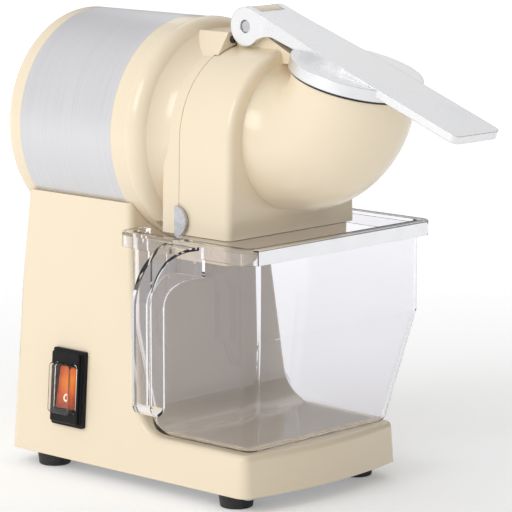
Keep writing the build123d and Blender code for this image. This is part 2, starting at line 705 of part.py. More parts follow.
with BuildPart() as rear_end_shield:
    with BuildSketch(on_axis(SHIELD_REAR)):
        Circle(BARREL_R - BAND_THICKNESS - 0.1)
        with PolarLocations(TIE_BOLT_CIRCLE, TIE_BOLTS, start_angle=TIE_BOLT_START):
            Circle(TIE_BOLT_R + FIT, mode=Mode.SUBTRACT)
        with PolarLocations(CAP_SCREW_CIRCLE, CAP_SCREWS, start_angle=CAP_SCREW_START):
            Circle(CAP_SCREW_R + FIT, mode=Mode.SUBTRACT)
        with PolarLocations(SHIELD_VENT_CIRCLE, SHIELD_VENTS):
            SlotOverall(SHIELD_VENT_LENGTH, SHIELD_VENT_WIDTH, mode=Mode.SUBTRACT)
    extrude(amount=SHIELD_REAR - SHIELD_FRONT)
    with BuildSketch(on_axis(REAR_BEARING_FRONT + BEARING_WIDTH)):
        Circle(BEARING_HUB_R)
    extrude(amount=BEARING_WIDTH + BEARING_LIP)
    with BuildSketch(on_axis(REAR_BEARING_FRONT + BEARING_WIDTH)):
        Circle(BEARING_R + BEARING_FIT)
    extrude(amount=BEARING_WIDTH, mode=Mode.SUBTRACT)
    with BuildSketch(on_axis(SHIELD_REAR)):
        Circle(SEAL_R)
    extrude(amount=BEARING_WIDTH * 2, mode=Mode.SUBTRACT)
save(rear_end_shield.part, "rear_end_shield")

with BuildPart() as tie_bolts:
    with BuildSketch(on_axis(SHIELD_REAR)):
        with PolarLocations(TIE_BOLT_CIRCLE, TIE_BOLTS, start_angle=TIE_BOLT_START):
            Circle(TIE_BOLT_R)
    extrude(amount=SHIELD_REAR - TIE_BOLT_TIP)
    with BuildSketch(on_axis(SHIELD_REAR + TIE_BOLT_HEAD)):
        with PolarLocations(TIE_BOLT_CIRCLE, TIE_BOLTS, start_angle=TIE_BOLT_START):
            RegularPolygon(radius=TIE_BOLT_HEAD_R, side_count=6)
    extrude(amount=TIE_BOLT_HEAD)
save(tie_bolts.part, "tie_bolts")


def bearing(front, name):
    """A deep-groove bearing on the barrel's axis, drawn as one ring with its two grooves."""
    with BuildPart() as ring:
        with BuildSketch(on_axis(front + BEARING_WIDTH)):
            Circle(BEARING_R)
            Circle(SHAFT_R + BEARING_FIT, mode=Mode.SUBTRACT)
        extrude(amount=BEARING_WIDTH)
        with BuildSketch(on_axis(front + BEARING_WIDTH), on_axis(front + BEARING_GROOVE)):
            Circle(BEARING_GROOVE_OUTER)
            Circle(BEARING_GROOVE_INNER, mode=Mode.SUBTRACT)
        extrude(amount=BEARING_GROOVE, mode=Mode.SUBTRACT)
    save(ring.part, name)


bearing(FRONT_BEARING_FRONT, "front_bearing")
bearing(REAR_BEARING_FRONT, "rear_bearing")

with BuildPart() as rear_cap:
    with BuildSketch(facing_right(0)) as cap_profile:
        with BuildLine():
            outer_r = BARREL_Z + BARREL_R
            inner_r = outer_r - CAP_WALL
            spigot_r = outer_r - BAND_THICKNESS - 0.1
            Polyline(
                (CAP_REAR, BARREL_Z),
                (CAP_REAR, outer_r),
                (BAND_REAR, outer_r),
                (BAND_REAR, spigot_r),
                (BAND_REAR - CAP_SPIGOT, spigot_r),
                (BAND_REAR - CAP_SPIGOT, inner_r),
                (CAP_REAR - CAP_WALL, inner_r),
                (CAP_REAR - CAP_WALL, BARREL_Z),
                close=True,
            )
        make_face()
        fillet(cap_profile.vertices().sort_by_distance((CAP_REAR, outer_r))[0], CAP_EDGE_R)
    revolve(axis=BARREL_AXIS)
    with BuildSketch(on_axis(CAP_REAR)):
        with PolarLocations(CAP_SCREW_CIRCLE, CAP_SCREWS, start_angle=CAP_SCREW_START):
            Circle(CAP_BOSS_R)
    extrude(amount=CAP_REAR - SHIELD_REAR)
    with BuildSketch(on_axis(CAP_REAR + WALL)):
        with PolarLocations(CAP_SCREW_CIRCLE, CAP_SCREWS, start_angle=CAP_SCREW_START):
            Circle(CAP_SCREW_R + FIT)
        for row in range(CAP_VENT_ROWS):
            vent_z = (row - (CAP_VENT_ROWS - 1) / 2) * CAP_VENT_PITCH
            with Locations((0, vent_z)):
                SlotOverall(2 * math.sqrt(CAP_VENT_R**2 - vent_z**2), CAP_VENT_WIDTH)
    extrude(amount=BARREL_R, mode=Mode.SUBTRACT)
save(rear_cap.part, "rear_cap")

with BuildPart() as rear_cap_screws:
    with BuildSketch(on_axis(CAP_REAR)):
        with PolarLocations(CAP_SCREW_CIRCLE, CAP_SCREWS, start_angle=CAP_SCREW_START):
            Circle(CAP_SCREW_R)
    extrude(amount=CAP_REAR - SHIELD_FRONT)
    with BuildSketch(on_axis(CAP_REAR + CAP_SCREW_HEAD)):
        with PolarLocations(CAP_SCREW_CIRCLE, CAP_SCREWS, start_angle=CAP_SCREW_START):
            Circle(CAP_SCREW_HEAD_R)
    extrude(amount=CAP_SCREW_HEAD)
    fillet(rear_cap_screws.edges().group_by(Axis.Y)[-1], CAP_SCREW_HEAD * 0.6)
save(rear_cap_screws.part, "rear_cap_screws")

# ================================================================ neck casting, in front of the motor
with BuildPart() as neck_casting:
    with BuildSketch(facing_right(0)):
        with BuildLine():
            face_r = BARREL_Z + RING_FACE_R
            neck_r = BARREL_Z + ARCH_R - 0.5
            Polyline((RING_FOOT, neck_r), (RING_FOOT, BARREL_Z), (BAND_FRONT, BARREL_Z))
            Polyline((BAND_FRONT, BARREL_Z), (BAND_FRONT, BARREL_Z + BARREL_R), (RING_SHOULDER, BARREL_Z + BARREL_R))
            ThreePointArc((RING_SHOULDER, BARREL_Z + BARREL_R), (21.2, BARREL_Z + 70.2), (RING_FACE, face_r))
            ThreePointArc((RING_FACE, face_r), (12.0, BARREL_Z + 60.4), (RING_FOOT, neck_r))
        make_face()
    revolve(axis=BARREL_AXIS)
    # Flat underside over the container's rear rim
    with Locations(at(0, RING_REST_Y, RING_BOTTOM)):
        Box(
            4 * BARREL_R,
            4 * BARREL_R,
            BARREL_R,
            align=(Align.CENTER, Align.MAX, Align.MAX),
            mode=Mode.SUBTRACT,
        )
    with BuildSketch(facing_front(CHAMBER_REAR + 2)):
        add(arch_outline(ARCH_R, ARCH_FOOT, CHAMBER_BOTTOM))
    extrude(amount=CHAMBER_REAR + 2 - SEAM_Y - SEAM_GAP / 2)
    # Block behind the lever, which overhangs the seam
    with BuildSketch(facing_front(BLOCK_REAR)):
        with BuildLine():
            Polyline(
                (-BLOCK_FOOT, BLOCK_FOOT_Z),
                (BLOCK_FOOT, BLOCK_FOOT_Z),
                (BLOCK_HALF_WIDTH, BLOCK_TOP),
                (-BLOCK_HALF_WIDTH, BLOCK_TOP),
                close=True,
            )
        make_face()
    extrude(amount=BLOCK_REAR - BLOCK_FRONT)
    with BuildSketch(on_axis(SEAM_Y + SEAM_GAP / 2)):
        Circle(ARCH_R + BLOCK_CLEARANCE)
    extrude(amount=WALL * 2, mode=Mode.SUBTRACT)
    # Half of the shaving chamber, open below
    with BuildSketch(on_axis(CHAMBER_REAR)):
        Circle(CHAMBER_R)
        Rectangle(2 * CHAMBER_R, BARREL_R, align=(Align.CENTER, Align.MAX))
    extrude(amount=CHAMBER_REAR * 2, mode=Mode.SUBTRACT)
    # Bearing seat, seal bore and the motor's space
    with BuildSketch(on_axis(BAND_FRONT)):
        Circle(BEARING_R + BEARING_FIT)
    extrude(amount=BAND_FRONT - FRONT_BEARING_FRONT, mode=Mode.SUBTRACT)
    with BuildSketch(on_axis(FRONT_BEARING_FRONT)):
        Circle(SEAL_R)
    extrude(amount=FRONT_BEARING_FRONT, mode=Mode.SUBTRACT)
    with BuildSketch(on_axis(BAND_FRONT)):
        Circle(NECK_SPACE_R)
    extrude(amount=BAND_FRONT - NECK_SPACE_FRONT, mode=Mode.SUBTRACT)
    with BuildSketch(on_axis(BAND_FRONT)):
        Circle(NECK_POCKET_R)
    extrude(amount=BAND_FRONT - FRONT_BEARING_FRONT - BEARING_WIDTH, mode=Mode.SUBTRACT)
    with BuildSketch(on_axis(BAND_FRONT)):
        with PolarLocations(TIE_BOLT_CIRCLE, TIE_BOLTS, start_angle=TIE_BOLT_START):
            Circle(TIE_BOLT_R + FIT)
    extrude(amount=BAND_FRONT - TIE_BOLT_TIP + 0.5, mode=Mode.SUBTRACT)
    # Cross hole for the latch spindles
    with BuildSketch(facing_right(-ARCH_FOOT * 2)):
        with Locations((LATCH_Y, LATCH_Z)):
            Circle(SPINDLE_R + FIT)
    extrude(amount=ARCH_FOOT * 4, mode=Mode.SUBTRACT)
save(neck_casting.part, "neck_casting")

with BuildPart() as shaft_seal:
    with BuildSketch(on_axis(FRONT_BEARING_FRONT - 0.3)):
        Circle(SEAL_R - FIT)
        Circle(SHAFT_R + FIT, mode=Mode.SUBTRACT)
    extrude(amount=FRONT_BEARING_FRONT - 0.3 - CHAMBER_REAR)
save(shaft_seal.part, "shaft_seal")

with BuildPart() as lever_stops:
    with BuildSketch(facing_front(BLOCK_FRONT)):
        with Locations((-STOP_X, STOP_Z), (STOP_X, STOP_Z)):
            Circle(STOP_R)
    extrude(amount=STOP_LENGTH)
    fillet(lever_stops.edges().group_by(Axis.Y)[0], STOP_R * 0.5)
save(lever_stops.part, "lever_stops")

# ================================================================ rotor
with BuildPart() as motor_shaft:
    with BuildSketch(on_axis(SHAFT_REAR)):
        Circle(SHAFT_R)
    extrude(amount=SHAFT_REAR - CUTTER_REAR)
    with BuildSketch(on_axis(CUTTER_REAR)):
        Circle(SHAFT_TIP_R)
    extrude(amount=CUTTER_REAR - SHAFT_FRONT)
    chamfer(motor_shaft.edges().group_by(Axis.Y)[0] + motor_shaft.edges().group_by(Axis.Y)[-1], 0.6)
save(motor_shaft.part, "motor_shaft")

with BuildPart() as rotor_core:
    with BuildSketch(on_axis(CORE_REAR)):
        Circle(ROTOR_R)
        Circle(SHAFT_R + BEARING_FIT, mode=Mode.SUBTRACT)
    extrude(amount=CORE_REAR - CORE_FRONT)
save(rotor_core.part, "rotor_core")

with BuildPart() as cooling_fan:
    with BuildSketch(on_axis(FAN_REAR)):
        Circle(FAN_HUB_R)
    extrude(amount=FAN_WIDTH)
    blade_planes = [
        Plane(
            origin=at(0, FAN_REAR - FAN_WIDTH / 2, BARREL_Z),
            x_dir=(0, 1, 0),
            z_dir=(math.cos(math.tau * blade / FAN_BLADES), 0, math.sin(math.tau * blade / FAN_BLADES)),
        )
        for blade in range(FAN_BLADES)
    ]
    with BuildSketch(*blade_planes):
        Rectangle(FAN_WIDTH, FAN_BLADE, rotation=FAN_PITCH)
    extrude(amount=FAN_R)
    with BuildSketch(on_axis(FAN_REAR + WALL)):
        Circle(SHAFT_R + BEARING_FIT)
    extrude(amount=FAN_WIDTH + 2 * WALL, mode=Mode.SUBTRACT)
save(cooling_fan.part, "cooling_fan")

with BuildPart() as cutter_disc:
    with BuildSketch(on_axis(CUTTER_REAR)):
        Circle(CUTTER_R)
    extrude(amount=CUTTER_REAR - CUTTER_FRONT)
    with BuildSketch(on_axis(CUTTER_REAR)):
        Circle(CUTTER_HUB_R)
    extrude(amount=-CUTTER_HUB)
    with BuildSketch(on_axis(CUTTER_REAR)):
        with PolarLocations(0, CUTTER_BLADES):
            with Locations((CUTTER_SLOT_X, CUTTER_SLOT_Y)):
                SlotOverall(CUTTER_SLOT_LENGTH, CUTTER_SLOT_WIDTH)
        with PolarLocations(0, CUTTER_BLADES):
            with Locations(*BLADE_SCREWS):
                Circle(BLADE_SCREW_R + FIT)
    extrude(amount=CUTTER_REAR - CUTTER_FRONT, mode=Mode.SUBTRACT)
    with BuildSketch(on_axis(CUTTER_REAR)):
        Circle(SHAFT_TIP_R + FIT)
    extrude(amount=CUTTER_REAR - CUTTER_FRONT, mode=Mode.SUBTRACT)
    with BuildSketch(on_axis(CUTTER_REAR + CUTTER_HUB)):
        Circle(SHAFT_R + FIT)
    extrude(amount=CUTTER_HUB, mode=Mode.SUBTRACT)
save(cutter_disc.part, "cutter_disc")

with BuildPart() as shaving_blades:
    with BuildSketch(on_axis(CUTTER_FRONT)):
        with PolarLocations(0, CUTTER_BLADES):
            with Locations((CUTTER_SLOT_X, BLADE_Y)):
                Rectangle(BLADE_LENGTH, BLADE_WIDTH)
        with PolarLocations(0, CUTTER_BLADES):
            with Locations(*BLADE_SCREWS):
                Circle(BLADE_SCREW_R + FIT, mode=Mode.SUBTRACT)
    extrude(amount=BLADE_THICKNESS)
save(shaving_blades.part, "shaving_blades")

with BuildPart() as blade_screws:
    with BuildSketch(on_axis(CUTTER_REAR)):
        with PolarLocations(0, CUTTER_BLADES):
            with Locations(*BLADE_SCREWS):
                Circle(BLADE_SCREW_R)
    extrude(amount=CUTTER_REAR - CUTTER_FRONT + BLADE_THICKNESS)
    with BuildSketch(on_axis(CUTTER_FRONT - BLADE_THICKNESS)):
        with PolarLocations(0, CUTTER_BLADES):
            with Locations(*BLADE_SCREWS):
                Circle(BLADE_SCREW_HEAD_R)
    extrude(amount=BLADE_SCREW_HEAD)
save(blade_screws.part, "blade_screws")

with BuildPart() as cutter_nut:
    with BuildSketch(on_axis(CUTTER_FRONT)):
        RegularPolygon(radius=CUTTER_NUT_R, side_count=6)
        Circle(SHAFT_TIP_R + FIT, mode=Mode.SUBTRACT)
    extrude(amount=CUTTER_NUT)
save(cutter_nut.part, "cutter_nut")

# ================================================================ mouth casting: chamber front and elbow hopper
ELBOW_FAN = math.radians(90 - MOUTH_TILT)
FAN_Z = MOUTH_Z + (CHAMBER_FACE - MOUTH_Y) * math.tan(math.radians(MOUTH_TILT))
FAN_REACH_FACE = FAN_Z - ELBOW_FACE_Z
FAN_REACH_MOUTH = (CHAMBER_FACE - MOUTH_Y) / MOUTH_COS


def elbow_section(s, inset):
    """Plane and radius of the elbow's round section, from the chamber face (s = 0) to the mouth (s = 1).

    The planes fan out from the line where the plane of the face meets the plane of the mouth.
    """
    turn = ELBOW_FAN * s
    reach = FAN_REACH_FACE * (1 - s) + FAN_REACH_MOUTH * s + 4 * ELBOW_BULGE * s * (1 - s)
    radius = ELBOW_FACE_R * (1 - s) ** 2 + 2 * ELBOW_R_MIDDLE * s * (1 - s) + MOUTH_R * s**2
    origin = at(0, CHAMBER_FACE - math.sin(turn) * reach, FAN_Z - math.cos(turn) * reach)
    normal = (0, -math.cos(turn), math.sin(turn))
    return Plane(origin=origin, x_dir=(1, 0, 0), z_dir=normal), radius - inset


def elbow(inset, overrun):
    """The elbow as a closed solid, with its surface moved in by the inset and its ends run on."""
    with BuildPart() as bend:
        for step in range(ELBOW_SECTIONS):
            s = step / (ELBOW_SECTIONS - 1) * (1 + 2 * overrun) - overrun
            plane, radius = elbow_section(s, inset)
            with BuildSketch(plane):
                Circle(radius)
        loft()
    return bend.part


elbow_outside = elbow(0, 0)
elbow_inside = elbow(WALL, ELBOW_OVERRUN)

with BuildPart() as mouth_casting:
    with BuildSketch(facing_front(SEAM_Y - SEAM_GAP / 2)):
        add(arch_outline(ARCH_R, ARCH_FOOT, CHAMBER_BOTTOM))
    extrude(amount=SEAM_Y - SEAM_GAP / 2 - CHAMBER_FACE)
    face_edges = mouth_casting.faces().sort_by(Axis.Y)[0].edges()
    fillet(face_edges.filter_by(lambda edge: edge.center().Z > CHAMBER_BOTTOM + 1), FACE_EDGE_R)
    add(elbow_outside)
    # Boss for the lever's pin, on a rib that runs forward to the hopper's rim
    with BuildSketch(facing_right(-BOSS_HALF_WIDTH)):
        with Locations((PIVOT_Y, PIVOT_Z)):
            Circle(BOSS_R)
        with BuildLine():
            Polyline(
                (PIVOT_Y + BOSS_R, BARREL_Z + CHAMBER_R + WALL),
                (PIVOT_Y + BOSS_R, PIVOT_Z),
                (PIVOT_Y, PIVOT_Z),
                (PIVOT_Y - BOSS_R, PIVOT_Z - RIB_DROP),
                (RIB_TIP_Y, RIB_TIP_Z),
                (RIB_TIP_Y - 2, RIB_TIP_Z - 5),
                (CHAMBER_FACE, BARREL_Z + CHAMBER_R - WALL),
                close=True,
            )
        make_face()
    extrude(amount=2 * BOSS_HALF_WIDTH)
    # Inside
    with BuildSketch(on_axis(SEAM_Y)):
        Circle(CHAMBER_R)
        Rectangle(2 * CHAMBER_R, BARREL_R, align=(Align.CENTER, Align.MAX))
    extrude(amount=SEAM_Y - CHAMBER_FACE - FACE_WALL, mode=Mode.SUBTRACT)
    with BuildSketch(Plane(origin=at(0, SEAM_Y, ELBOW_FACE_Z), x_dir=(1, 0, 0), z_dir=(0, -1, 0))):
        Circle(ELBOW_FACE_R - WALL - 1)
    extrude(amount=SEAM_Y - CHAMBER_FACE + 1, mode=Mode.SUBTRACT)
    add(elbow_inside, mode=Mode.SUBTRACT)
    with BuildSketch(facing_right(-ARCH_FOOT)):
        with Locations((PIVOT_Y, PIVOT_Z)):
            Circle(PIN_R)
    extrude(amount=2 * ARCH_FOOT, mode=Mode.SUBTRACT)
    # Recess and edge notch for each latch
    for side in (-1, 1):
        with BuildSketch(facing_right(side * (ARCH_FOOT + RECESS_DEPTH / 2))):
            with Locations((LATCH_Y, LATCH_Z)):
                Circle(RECESS_R)
        extrude(amount=RECESS_DEPTH, both=True, mode=Mode.SUBTRACT)
    with BuildSketch(facing_right(-ARCH_FOOT * 2)):
        with Locations((LATCH_Y, LATCH_Z)):
            Circle(SPINDLE_R + 0.4)
    extrude(amount=ARCH_FOOT * 4, mode=Mode.SUBTRACT)
save(mouth_casting.part, "mouth_casting")

with BuildPart() as outlet_chute:
    chute_middle = (CHUTE_FRONT + CHUTE_REAR) / 2
    with BuildSketch(level(CHUTE_BOTTOM)):
        with Locations((0, chute_middle)):
            RectangleRounded(2 * CHUTE_HALF_WIDTH, CHUTE_REAR - CHUTE_FRONT, CHUTE_CORNER)
            RectangleRounded(
                2 * (CHUTE_HALF_WIDTH - CHUTE_WALL),
                CHUTE_REAR - CHUTE_FRONT - 2 * CHUTE_WALL,
                CHUTE_CORNER - CHUTE_WALL,
                mode=Mode.SUBTRACT,
            )
    extrude(amount=CHUTE_TOP - CHUTE_BOTTOM)
    # Ledge and collar that fit inside the chamber's lower edge
    with BuildSketch(level(CHUTE_TOP - CHUTE_WALL)):
        with Locations((0, chute_middle)):
            RectangleRounded(2 * CHUTE_HALF_WIDTH, CHUTE_REAR - CHUTE_FRONT, CHUTE_CORNER)
        with Locations((0, COLLAR_FRONT + WALL)):
            Rectangle(
                2 * (COLLAR_HALF_WIDTH - CHUTE_WALL),
                CHUTE_REAR - COLLAR_FRONT - 2 * WALL,
                align=(Align.CENTER, Align.MIN),
                mode=Mode.SUBTRACT,
            )
    extrude(amount=CHUTE_WALL)
    with BuildSketch(level(CHUTE_TOP)):
        with Locations((0, COLLAR_FRONT)):
            Rectangle(2 * COLLAR_HALF_WIDTH, COLLAR_REAR - COLLAR_FRONT, align=(Align.CENTER, Align.MIN))
        with Locations((0, COLLAR_FRONT + WALL)):
            Rectangle(
                2 * (COLLAR_HALF_WIDTH - CHUTE_WALL),
                COLLAR_REAR - COLLAR_FRONT,
                align=(Align.CENTER, Align.MIN),
                mode=Mode.SUBTRACT,
            )
    extrude(amount=COLLAR_HEIGHT)
save(outlet_chute.part, "outlet_chute")

with BuildPart() as lever_pin:
    with BuildSketch(facing_right(-PIN_HALF_LENGTH)):
        with Locations((PIVOT_Y, PIVOT_Z)):
            Circle(PIN_R)
    extrude(amount=2 * PIN_HALF_LENGTH)
    chamfer(lever_pin.edges().filter_by(GeomType.CIRCLE), 0.6)
save(lever_pin.part, "lever_pin")

# ================================================================ press lever
with BuildPart() as press_lever:
    # Side profile: round ears, a wall that thins away from them, and the flat arm
    with BuildSketch(lever_side(ARM_HALF_WIDTH + 1)):
        with BuildLine():
            lug = (EAR_R * math.cos(EAR_BREAK), -EAR_R * math.sin(EAR_BREAK))
            Polyline(lug, (0, 0), (0, EAR_R), (LEVER_LENGTH, EAR_R), (LEVER_LENGTH, EAR_R - ARM_EDGE))
            Polyline((LEVER_LENGTH, EAR_R - ARM_EDGE), (WALL_END, EAR_R - ARM_EDGE), (WALL_END - 6, WALL_THIN))
            Line((WALL_END - 6, WALL_THIN), (WALL_START, WALL_DEEP))
            ThreePointArc((WALL_START, WALL_DEEP), WALL_CURVE, lug)
        make_face()
        Circle(EAR_R)
    extrude(amount=2 * ARM_HALF_WIDTH + 2)
    with BuildSketch(lever_top(2 * EAR_R)) as arm_outline:
        with BuildLine():
            Polyline(
                (-2 * EAR_R, -EAR_OUTER),
                (ARM_TAPER_START, -EAR_OUTER),
                (ARM_TAPER_END, -ARM_HALF_WIDTH),
                (LEVER_LENGTH, -ARM_HALF_WIDTH),
                (LEVER_LENGTH, ARM_HALF_WIDTH),
                (ARM_TAPER_END, ARM_HALF_WIDTH),
                (ARM_TAPER_START, EAR_OUTER),
                (-2 * EAR_R, EAR_OUTER),
                close=True,
            )
        make_face()
        fillet(arm_outline.vertices().group_by(Axis.X)[-1], TIP_CORNER)
        fillet(arm_outline.vertices().filter_by(lambda v: 0 < v.X < LEVER_LENGTH / 2), ARM_TAPER_END / 2)
    extrude(amount=-5 * EAR_R, mode=Mode.INTERSECT)
    # Room for the boss, and the hollow under the arm between its walls
    with BuildSketch(lever_side(EAR_INNER)):
        Circle(WEB_R)
        with Locations((WEB_R, EAR_R - ARM_EDGE)):
            Rectangle(2 * WALL_END, 2 * EAR_R, align=(Align.CENTER, Align.MAX))
    extrude(amount=2 * EAR_INNER, mode=Mode.SUBTRACT)
    with BuildSketch(mouth_plane(SEAL_CLEARANCE + SEAL_THICKNESS)):
        Circle(DISC_R)
    extrude(amount=DISC_THICKNESS)
    with BuildSketch(lever_side(ARM_HALF_WIDTH)):
        Circle(PIN_R + PIN_CLEARANCE)
    extrude(amount=2 * ARM_HALF_WIDTH, mode=Mode.SUBTRACT)
    with BuildSketch(mouth_plane(SEAL_CLEARANCE + SEAL_THICKNESS)):
        with PolarLocations(PUSHER_SCREW_CIRCLE, PUSHER_SCREWS):
            Circle(PUSHER_SCREW_R + FIT)
    extrude(amount=PUSHER_SCREW_GRIP, mode=Mode.SUBTRACT)
save(press_lever.part, "press_lever")

with BuildPart() as hopper_seal:
    with BuildSketch(mouth_plane(SEAL_CLEARANCE)):
        Circle(HOPPER_SEAL_R)
        Circle(HOPPER_SEAL_BORE, mode=Mode.SUBTRACT)
    extrude(amount=SEAL_THICKNESS)
save(hopper_seal.part, "hopper_seal")

with BuildPart() as pusher:
    with BuildSketch(mouth_plane(SEAL_CLEARANCE + SEAL_THICKNESS)):
        Circle(PUSHER_R)
    extrude(amount=-PUSHER_DEPTH, taper=PUSHER_TAPER)
    with BuildSketch(mouth_plane(SEAL_CLEARANCE + SEAL_THICKNESS)):
        Circle(PUSHER_HOLLOW_R)
        with PolarLocations(PUSHER_SCREW_CIRCLE, PUSHER_SCREWS):
            Circle(PUSHER_BOSS_R, mode=Mode.SUBTRACT)
    extrude(amount=-(PUSHER_DEPTH - PUSHER_FLOOR), mode=Mode.SUBTRACT)
    with BuildSketch(mouth_plane(SEAL_CLEARANCE + SEAL_THICKNESS)):
        with PolarLocations(PUSHER_SCREW_CIRCLE, PUSHER_SCREWS):
            Circle(PUSHER_SCREW_R + FIT)
    extrude(amount=-PUSHER_DEPTH, mode=Mode.SUBTRACT)
    with BuildSketch(mouth_plane(SEAL_CLEARANCE + SEAL_THICKNESS - PUSHER_DEPTH)):
        with PolarLocations(PUSHER_SCREW_CIRCLE, PUSHER_SCREWS):
            Circle(PUSHER_SCREW_HEAD_R + 0.4)
    extrude(amount=PUSHER_DEPTH - PUSHER_SCREW_SHELF, mode=Mode.SUBTRACT)
    with BuildSketch(mouth_plane(SEAL_CLEARANCE + SEAL_THICKNESS - PUSHER_DEPTH)):
        with PolarLocations(PUSHER_TOOTH_CIRCLE, PUSHER_TEETH):
            Circle(PUSHER_TOOTH_R)
    extrude(amount=-PUSHER_TOOTH, taper=PUSHER_TOOTH_TAPER)
save(pusher.part, "pusher")

with BuildPart() as pusher_screws:
    screw_top = SEAL_CLEARANCE + SEAL_THICKNESS - PUSHER_SCREW_SHELF
    with BuildSketch(mouth_plane(screw_top)):
        with PolarLocations(PUSHER_SCREW_CIRCLE, PUSHER_SCREWS):
            Circle(PUSHER_SCREW_HEAD_R)
    extrude(amount=-PUSHER_SCREW_HEAD)
    with BuildSketch(mouth_plane(screw_top)):
        with PolarLocations(PUSHER_SCREW_CIRCLE, PUSHER_SCREWS):
            Circle(PUSHER_SCREW_R)
    extrude(amount=PUSHER_SCREW_SHELF + PUSHER_SCREW_GRIP - 0.5)
save(pusher_screws.part, "pusher_screws")

# ================================================================ latches
for side, name in ((-1, "left"), (1, "right")):
    outward = Plane(origin=at(side * LATCH_X, LATCH_Y, LATCH_Z), x_dir=(0, -1, 0), z_dir=(side, 0, 0))
    with BuildPart() as latch:
        with BuildSketch(outward):
            Circle(LATCH_R)
            Rectangle(LATCH_R, 2 * LATCH_R, align=(Align.MAX, Align.CENTER), mode=Mode.SUBTRACT)
        extrude(amount=LATCH_THICKNESS)
        with BuildSketch(outward):
            Circle(SPINDLE_R)
        extrude(amount=-SPINDLE_LENGTH)
    save(latch.part, f"latch_{name}")
    with BuildPart() as clip:
        with BuildSketch(outward.offset(SPINDLE_END - SPINDLE_LENGTH)):
            Circle(CLIP_R)
            Circle(SPINDLE_R + FIT, mode=Mode.SUBTRACT)
        extrude(amount=CLIP_THICKNESS)
    save(clip.part, f"latch_clip_{name}")


# ================================================================ container
def tub(inset, top):
    """The container's body as a closed solid, with its surface moved in by the inset."""
    side = RIM_HALF_WIDTH - RIM_STEP - inset
    front = RIM_FRONT + RIM_STEP + inset
    rear = RIM_REAR - RIM_STEP - inset
    floor = BOX_FLOOR + inset
    foot_front = front + BOX_LEAN
    foot_rear = rear - BOX_LEAN_REAR
    with BuildPart() as body:
        with BuildSketch(level(floor)):
            with Locations((0, (foot_front + foot_rear) / 2)):
                RectangleRounded(2 * (side - BOX_LEAN), foot_rear - foot_front, BOX_CORNER - inset)
        with BuildSketch(level(BOX_BEND_Z)):
            with Locations((0, (front + rear) / 2)):
                RectangleRounded(2 * side, rear - front, BOX_CORNER - inset)
        loft()
        with BuildSketch(level(BOX_BEND_Z)):
            with Locations((0, (front + rear) / 2)):
                RectangleRounded(2 * side, rear - front, BOX_CORNER - inset)
        extrude(amount=top - BOX_BEND_Z)
        fillet(body.edges().group_by(Axis.Z)[0], BOX_ROUND - inset)
        # Rear bottom edge, rounded tangent to the floor and to the leaning wall
        radius = BOX_REAR_ROUND - inset
        lean = math.atan2(BOX_LEAN_REAR, BOX_BEND_Z - floor)
        setback = radius * math.tan(math.pi / 4 - lean / 2)
        centre = Vector(foot_rear - setback, floor + radius)
        outward = (Vector(foot_rear, floor) - centre).normalized()
        on_floor = Vector(foot_rear - setback, floor)
        on_wall = Vector(foot_rear + setback * math.sin(lean), floor + setback * math.cos(lean))
        beyond = foot_rear + radius
        with BuildSketch(facing_right(-RIM_HALF_WIDTH)):
            with BuildLine():
                Polyline(
                    on_floor,
                    (on_floor.X, floor - 1),
                    (beyond, floor - 1),
                    (beyond, on_wall.Y),
                    on_wall,
                )
                ThreePointArc(on_wall, centre + outward * radius, on_floor)
            make_face()
        extrude(amount=2 * RIM_HALF_WIDTH, mode=Mode.SUBTRACT)
    return body.part


def handle(inset, open_side):
    """The handle on the left wall as a closed solid, with all but its inner side moved in by the inset."""
    outer = HANDLE_OUTER + inset
    inner = HANDLE_INNER + open_side
    end = HANDLE_END + inset
    middle = (HANDLE_FRONT + HANDLE_REAR) / 2
    half = (HANDLE_REAR - HANDLE_FRONT) / 2 - inset
    root_half = HANDLE_ROOT_HALF_WIDTH - inset
    wall = -(RIM_HALF_WIDTH - RIM_STEP) + BOX_WALL / 2 - inset
    with BuildPart() as body:
        with BuildSketch(facing_front(middle + HANDLE_ROOT_HALF_WIDTH)):
            with BuildLine():
                bend = HANDLE_BEND_Z
                Line((wall, HANDLE_TOP - inset), (HANDLE_ROOT_X, HANDLE_TOP - inset))
                EllipticalCenterArc(
                    (HANDLE_ROOT_X, bend),
                    HANDLE_ROOT_X - outer,
                    HANDLE_TOP - inset - bend,
                    start_angle=90,
                    arc_size=90,
                )
                Line((outer, bend), (outer, end + HANDLE_END_R))
                ThreePointArc(
                    (outer, end + HANDLE_END_R),
                    ((outer + inner) / 2, end),
                    (inner, end + HANDLE_END_R),
                )
                Line((inner, end + HANDLE_END_R), (inner, bend))
                EllipticalCenterArc(
                    (HANDLE_ROOT_X, bend),
                    HANDLE_ROOT_X - inner,
                    HANDLE_UNDERSIDE - open_side - bend,
                    start_angle=90,
                    arc_size=90,
                )
                Polyline(
                    (HANDLE_ROOT_X, HANDLE_UNDERSIDE - open_side),
                    (wall, HANDLE_UNDERSIDE - open_side),
                    (wall, HANDLE_TOP - inset),
                )
            make_face()
        extrude(amount=2 * HANDLE_ROOT_HALF_WIDTH)
        with BuildSketch(level(HANDLE_END - 1)):
            with BuildLine():
                Polyline(
                    (wall, middle - root_half),
                    (wall, middle + root_half),
                    (HANDLE_ROOT_X, middle + root_half),
                    (HANDLE_NECK_X, middle + half),
                    (HANDLE_OUTER - 1, middle + half),
                    (HANDLE_OUTER - 1, middle - half),
                    (HANDLE_NECK_X, middle - half),
                    (HANDLE_ROOT_X, middle - root_half),
                    close=True,
                )
            make_face()
        extrude(amount=HANDLE_TOP - HANDLE_END + 2, mode=Mode.INTERSECT)
    return body.part


tub_outside = tub(0, RIM_TOP)
tub_inside = tub(BOX_WALL, RIM_TOP + 1)
handle_outside = handle(0, 0)
handle_inside = handle(BOX_WALL, 1)

